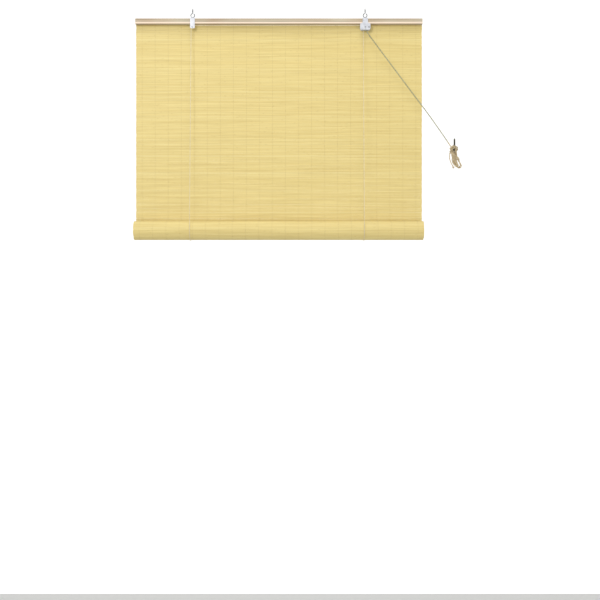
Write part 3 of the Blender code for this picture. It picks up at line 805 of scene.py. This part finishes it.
# The roll: the mat wound on itself about six times round a loose core. The inner turns show only
# at the ends, so only the outer two run the whole width and the others are short stubs.
mat = bmesh.new()
mat.verts.layers.float.new("strip")
whole_turns, all_turns, stub_length = 2, 6.6, 0.030
wound, turn, row = [], 0.0, row_count + lead_in_strips
while turn < whole_turns * math.tau:
    reach = roll_reach - layer * turn / math.tau
    out = Vector((0, math.cos(turn), -math.sin(turn)))
    wound.append((roll_axis + out * reach, out))
    lay_strip(mat, long_strip, strip_shade(row), wound[-1][0], turn)
    turn += strip_pitch / reach
    row += 1
stub = split_strip(stub_length, 0)
while turn < all_turns * math.tau:
    reach = roll_reach - layer * turn / math.tau
    out = Vector((0, math.cos(turn), -math.sin(turn)))
    shade = strip_shade(row)
    for end in (-1, 1):
        aside = Vector((end * (blind_width - stub_length) / 2, 0, 0))
        lay_strip(mat, stub, shade, roll_axis + out * reach + aside, turn, 1.4)
    turn += strip_pitch / reach
    row += 1
roll = woven("mat_wound", mat, warps("mat_wound", wound))
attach(roll, "roll")
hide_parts("mat_roll")


# Headrail, lath and bottom batten: planed pine, unfinished. The grain runs along them in lines 2
# to 5 mm apart, greyed a little by light, and the edges are rubbed down. The lath is nailed on
# behind, with the mat's top edge between, and the batten lies in the roll.
pine = finish("planed pine", Roughness=0.62, Specular_IOR_Level=0.35)
tree = pine.node_tree
shader = tree.nodes["Principled BSDF"]
place = add_node(tree, "ShaderNodeTexCoord").outputs["Object"]
stretched = add_node(tree, "ShaderNodeMapping", {"Scale": (3.0, 130.0, 130.0)}, {"Vector": place})
grain = add_node(
    tree,
    "ShaderNodeTexNoise",
    {"Scale": 1.6, "Detail": 5.0, "Distortion": 0.9},
    {"Vector": stretched.outputs[0]},
)
grain_shade = add_node(
    tree,
    "ShaderNodeValToRGB",
    links={"Fac": grain.outputs["Fac"]},
    stops=[(0.28, "#A29781"), (0.5, "#BBB099"), (0.72, "#CDC2AA")],
)
blush = add_node(tree, "ShaderNodeTexNoise", {"Scale": 9.0, "Detail": 2.0}, {"Vector": place})
blush_shade = add_node(
    tree,
    "ShaderNodeValToRGB",
    links={"Fac": blush.outputs["Fac"]},
    stops=[(0.35, "#F4E3DA"), (0.65, "#FFFFFF")],
)
toned = add_node(
    tree,
    "ShaderNodeMix",
    {0: 0.8},
    {6: grain_shade.outputs["Color"], 7: blush_shade.outputs["Color"]},
    data_type="RGBA",
    blend_type="MULTIPLY",
)
# The bead, the part of the headrail that stands out in front, is painted paler than the rest: a painted
# highlight on the bead.
split = add_node(tree, "ShaderNodeSeparateXYZ", links={"Vector": place})
bead_highlight_mask = add_node(
    tree,
    "ShaderNodeMapRange",
    {"From Min": -0.0080, "From Max": -0.0076, "To Min": 0.8, "To Max": 0.0},
    {"Value": split.outputs["Y"]},
)
bead_highlighted = add_node(
    tree,
    "ShaderNodeMix",
    {7: linear("#F6E2CC")},
    {0: bead_highlight_mask.outputs[0], 6: toned.outputs[2]},
    data_type="RGBA",
)
tree.links.new(bead_highlighted.outputs[2], shader.inputs["Base Color"])
bump = add_node(
    tree,
    "ShaderNodeBump",
    {"Strength": 0.35, "Distance": 0.0004},
    {"Height": grain.outputs["Fac"]},
)
tree.links.new(bump.outputs["Normal"], shader.inputs["Normal"])


def worked(node, body, look, edge):
    """Adds a CAD piece's own shape with its edges broken, which stands for the plain one."""
    shape = bmesh.new()
    shape.from_mesh(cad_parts[node].data)
    bmesh.ops.remove_doubles(shape, verts=shape.verts[:], dist=3e-6)
    flat = math.radians(1.5)
    bmesh.ops.dissolve_limit(shape, angle_limit=flat, verts=shape.verts[:], edges=shape.edges[:])
    least = math.radians(35)
    sharp = [e for e in shape.edges if len(e.link_faces) == 2 and e.calc_face_angle() > least]
    bmesh.ops.bevel(
        shape,
        geom=sharp,
        offset=edge,
        offset_type="OFFSET",
        affect="EDGES",
        segments=2,
        profile=0.5,
        material=-1,
        clamp_overlap=True,
    )
    bmesh.ops.recalc_face_normals(shape, faces=shape.faces[:])
    mesh = bpy.data.meshes.new(f"{node}_worked")
    shape.to_mesh(mesh)
    shape.free()
    mesh.shade_smooth()
    mesh.set_sharp_from_angle(angle=math.radians(20))
    made = add_piece(f"{node}_worked", mesh, look)
    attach(made, body)
    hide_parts(node)


worked("headrail", "headrail_and_cords", pine, 0.0005)
worked("back_lath", "headrail_and_cords", pine, 0.0004)
worked("bottom_batten", "roll", pine, 0.0004)


# Hangers and lock plates: 1.2 mm steel, pressed, and painted white. The paint is satin with a
# faint orange peel and rounds the cut edges. Handling has greyed it in patches about 8 mm across.
white_paint = finish(
    "white painted steel",
    Roughness=0.35,
    Coat_Weight=0.3,
    Coat_Roughness=0.2,
)
tree = white_paint.node_tree
shader = tree.nodes["Principled BSDF"]
place = add_node(tree, "ShaderNodeTexCoord").outputs["Object"]
soil = add_node(tree, "ShaderNodeTexNoise", {"Scale": 120.0, "Detail": 4.0}, {"Vector": place})
soil_shade = add_node(
    tree,
    "ShaderNodeValToRGB",
    links={"Fac": soil.outputs["Fac"]},
    stops=[(0.3, "#BEC0C7"), (0.6, "#D3D5DB")],
)
tree.links.new(soil_shade.outputs["Color"], shader.inputs["Base Color"])
# Orange peel 1 mm across.
peel = add_node(tree, "ShaderNodeTexNoise", {"Scale": 1000.0, "Detail": 1.0}, {"Vector": place})
bump = add_node(
    tree,
    "ShaderNodeBump",
    {"Strength": 0.15, "Distance": 0.0001},
    {"Height": peel.outputs["Fac"]},
)
tree.links.new(bump.outputs["Normal"], shader.inputs["Normal"])
for node in ("left_hanger", "lock_hanger", "lock_back_plate"):
    worked(node, "headrail_and_cords", white_paint, 0.0003)


# Rivets, wood screws, nails and the cam: plain mild steel, turned or stamped. It is a little dull,
# in patches less than 2 mm across that differ in shade and gloss.
mild_steel = finish("plain mild steel", Metallic=1.0, Roughness=0.38)
tree = mild_steel.node_tree
shader = tree.nodes["Principled BSDF"]
place = add_node(tree, "ShaderNodeTexCoord").outputs["Object"]
dull = add_node(tree, "ShaderNodeTexNoise", {"Scale": 600.0, "Detail": 3.0}, {"Vector": place})
dull_shade = add_node(
    tree,
    "ShaderNodeValToRGB",
    links={"Fac": dull.outputs["Fac"]},
    stops=[(0.3, "#8E9093"), (0.7, "#B4B6B8")],
)
tree.links.new(dull_shade.outputs["Color"], shader.inputs["Base Color"])
wear = add_node(
    tree,
    "ShaderNodeMapRange",
    {"To Min": 0.3, "To Max": 0.5},
    {"Value": dull.outputs["Fac"]},
)
tree.links.new(wear.outputs[0], shader.inputs["Roughness"])
screws_and_rivets = (
    "left_hanger_screw",
    "lock_hanger_screw",
    "left_pulley_axle",
    "lock_sheave_axle",
    "lock_cam_axle",
)
for node in (*screws_and_rivets, *(f"lath_nail_{n}" for n in range(1, 6))):
    worked(node, "headrail_and_cords", mild_steel, 0.00012)
worked("lock_cam", "cam", mild_steel, 0.0002)


# Pulley and sheave: moulded nylon wheels that turn on the rivets. They are white and slightly
# waxy, with a faint cloudiness about 3 mm across.
nylon = finish("moulded white nylon", Roughness=0.42, Subsurface_Weight=0.1, Subsurface_Scale=0.001)
tree = nylon.node_tree
shader = tree.nodes["Principled BSDF"]
place = add_node(tree, "ShaderNodeTexCoord").outputs["Object"]
cloud = add_node(tree, "ShaderNodeTexNoise", {"Scale": 300.0}, {"Vector": place})
cloud_shade = add_node(
    tree,
    "ShaderNodeValToRGB",
    links={"Fac": cloud.outputs["Fac"]},
    stops=[(0.3, "#DEDDD6"), (0.7, "#EFEEE8")],
)
tree.links.new(cloud_shade.outputs["Color"], shader.inputs["Base Color"])
worked("left_pulley", "left_pulley_wheel", nylon, 0.00015)
worked("lock_sheave", "lock_sheave_wheel", nylon, 0.00015)


# Screw eyes: 2.2 mm wire, bent to a ring, pointed and threaded, and zinc plated. The plating has
# gone a dull grey, in cloudy patches about 2 mm across.
zinc = finish("zinc plated wire", Metallic=1.0, Roughness=0.3)
tree = zinc.node_tree
shader = tree.nodes["Principled BSDF"]
place = add_node(tree, "ShaderNodeTexCoord").outputs["Object"]
patch = add_node(tree, "ShaderNodeTexNoise", {"Scale": 450.0, "Detail": 3.0}, {"Vector": place})
patch_shade = add_node(
    tree,
    "ShaderNodeValToRGB",
    links={"Fac": patch.outputs["Fac"]},
    stops=[(0.3, "#5A5E62"), (0.7, "#868A8E")],
)
tree.links.new(patch_shade.outputs["Color"], shader.inputs["Base Color"])


def round_wire(name, points, radius, shares, sides=5):
    """A round wire along a line, each point with its share of the radius."""
    curve = bpy.data.curves.new(name, "CURVE")
    curve.dimensions = "3D"
    curve.bevel_depth = radius
    curve.bevel_resolution = sides
    curve.use_fill_caps = True
    spline = curve.splines.new("POLY")
    spline.points.add(len(points) - 1)
    for spot, point, share in zip(spline.points, points, shares):
        spot.co = (*point, 1.0)
        spot.radius = share
    bare = bpy.data.objects.new(name, curve)
    mesh = bpy.data.meshes.new_from_object(bare)
    bpy.data.curves.remove(curve)
    mesh.shade_smooth()
    return mesh


def threaded(name, wire_mesh, foot, along, length, radius, pitch, look):
    """Joins a wire and the wood-screw thread that winds up its pointed end."""
    side = along.orthogonal()
    up = along.cross(side)
    ridge, shares = [], []
    count = round(length / pitch * 14)
    for i in range(count + 1):
        share = i / count
        taper = 1.0 if share < 0.6 else 1.0 - 0.75 * (share - 0.6) / 0.4
        turn = math.tau * share * length / pitch
        out = (side * math.cos(turn) + up * math.sin(turn)) * radius * taper
        ridge.append(foot + along * length * share + out)
        shares.append(min(1.0, 8 * share, 8 * (1 - share)) + 0.05)
    thread = round_wire(f"{name}_thread", ridge, 0.24 * radius, shares, 1)
    both = bmesh.new()
    both.from_mesh(wire_mesh)
    both.from_mesh(thread)
    mesh = bpy.data.meshes.new(name)
    both.to_mesh(mesh)
    both.free()
    mesh.shade_smooth()
    return add_piece(name, mesh, look)


for side, x in (("left", -0.2405), ("right", 0.2405)):
    turns = [math.radians(118 + 307 * i / 30) for i in range(31)]
    ring = [Vector((x + 0.0054 * math.cos(t), 0, -0.0065 + 0.0054 * math.sin(t))) for t in turns]
    shank = [Vector((x, 0, z)) for z in (0.0140, 0.0128, 0.0108, 0.0085, 0.0049, 0.0022, 0.0004)]
    eye_line = smooth_line(shank + ring, 0.0006)
    shares = [min(1.0, max(0.08, (0.0142 - p.z) / 0.0050)) if p.z > 0 else 1.0 for p in eye_line]
    name = f"screw_eye_{side}_plated"
    eye = threaded(
        name,
        round_wire(name, eye_line, 0.0011, shares),
        foot=Vector((x, 0, 0.0015)),
        along=Vector((0, 0, 1)),
        length=0.0118,
        radius=0.00095,
        pitch=0.0011,
        look=zinc,
    )
    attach(eye, "headrail_and_cords")
    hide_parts(f"screw_eye_{side}")


# Wall hook: 4.8 mm steel rod with a wood thread, screwed in through a turned rosette and bent up
# at its end. Both are blackened and oiled, so they look dark, with brown rubbed spots about 5 mm
# across.
black_oxide = finish("blackened oiled steel", Metallic=0.85, Roughness=0.4)
tree = black_oxide.node_tree
shader = tree.nodes["Principled BSDF"]
place = add_node(tree, "ShaderNodeTexCoord").outputs["Object"]
rub = add_node(
    tree,
    "ShaderNodeTexNoise",
    {"Scale": 220.0, "Detail": 4.0, "Roughness": 0.6},
    {"Vector": place},
)
rub_shade = add_node(
    tree,
    "ShaderNodeValToRGB",
    links={"Fac": rub.outputs["Fac"]},
    stops=[(0.35, "#2A2A28"), (0.68, "#55503F")],
)
tree.links.new(rub_shade.outputs["Color"], shader.inputs["Base Color"])
rub_gloss = add_node(
    tree,
    "ShaderNodeMapRange",
    {"To Min": 0.5, "To Max": 0.3},
    {"Value": rub.outputs["Fac"]},
)
tree.links.new(rub_gloss.outputs[0], shader.inputs["Roughness"])

hook_x, arm_z = 0.4872, -0.3780
bend = [math.radians(270 - 90 * i / 12) for i in range(13)]
arm_y = (0.0355, 0.0343, 0.0325, 0.0300, 0.0255, 0.0175, 0.0080, -0.0050)
prong_z = (-0.3680, -0.3620, -0.3565, -0.3542, -0.3531, -0.3526)
bend_y, bend_z, bend_reach = -0.0130, -0.3730, 0.0050
hook_line = [Vector((hook_x, y, arm_z)) for y in arm_y]
hook_line += [
    Vector((hook_x, bend_y + bend_reach * math.cos(t), bend_z + bend_reach * math.sin(t)))
    for t in bend
]
hook_line += [Vector((hook_x, bend_y - bend_reach, z)) for z in prong_z]
shares = [0.12, 0.35, 0.6, 0.8] + [0.86] + [1.0] * (len(hook_line) - 9) + [0.97, 0.86, 0.62, 0.3]
hook = threaded(
    "wall_hook_forged",
    round_wire("wall_hook_forged", hook_line, 0.0024, shares, 7),
    foot=Vector((hook_x, 0.0190, arm_z)),
    along=Vector((0, 1, 0)),
    length=0.0155,
    radius=0.0020,
    pitch=0.0018,
    look=black_oxide,
)
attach(hook, "headrail_and_cords")
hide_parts("wall_hook")
worked("hook_rosette", "headrail_and_cords", black_oxide, 0.0003)
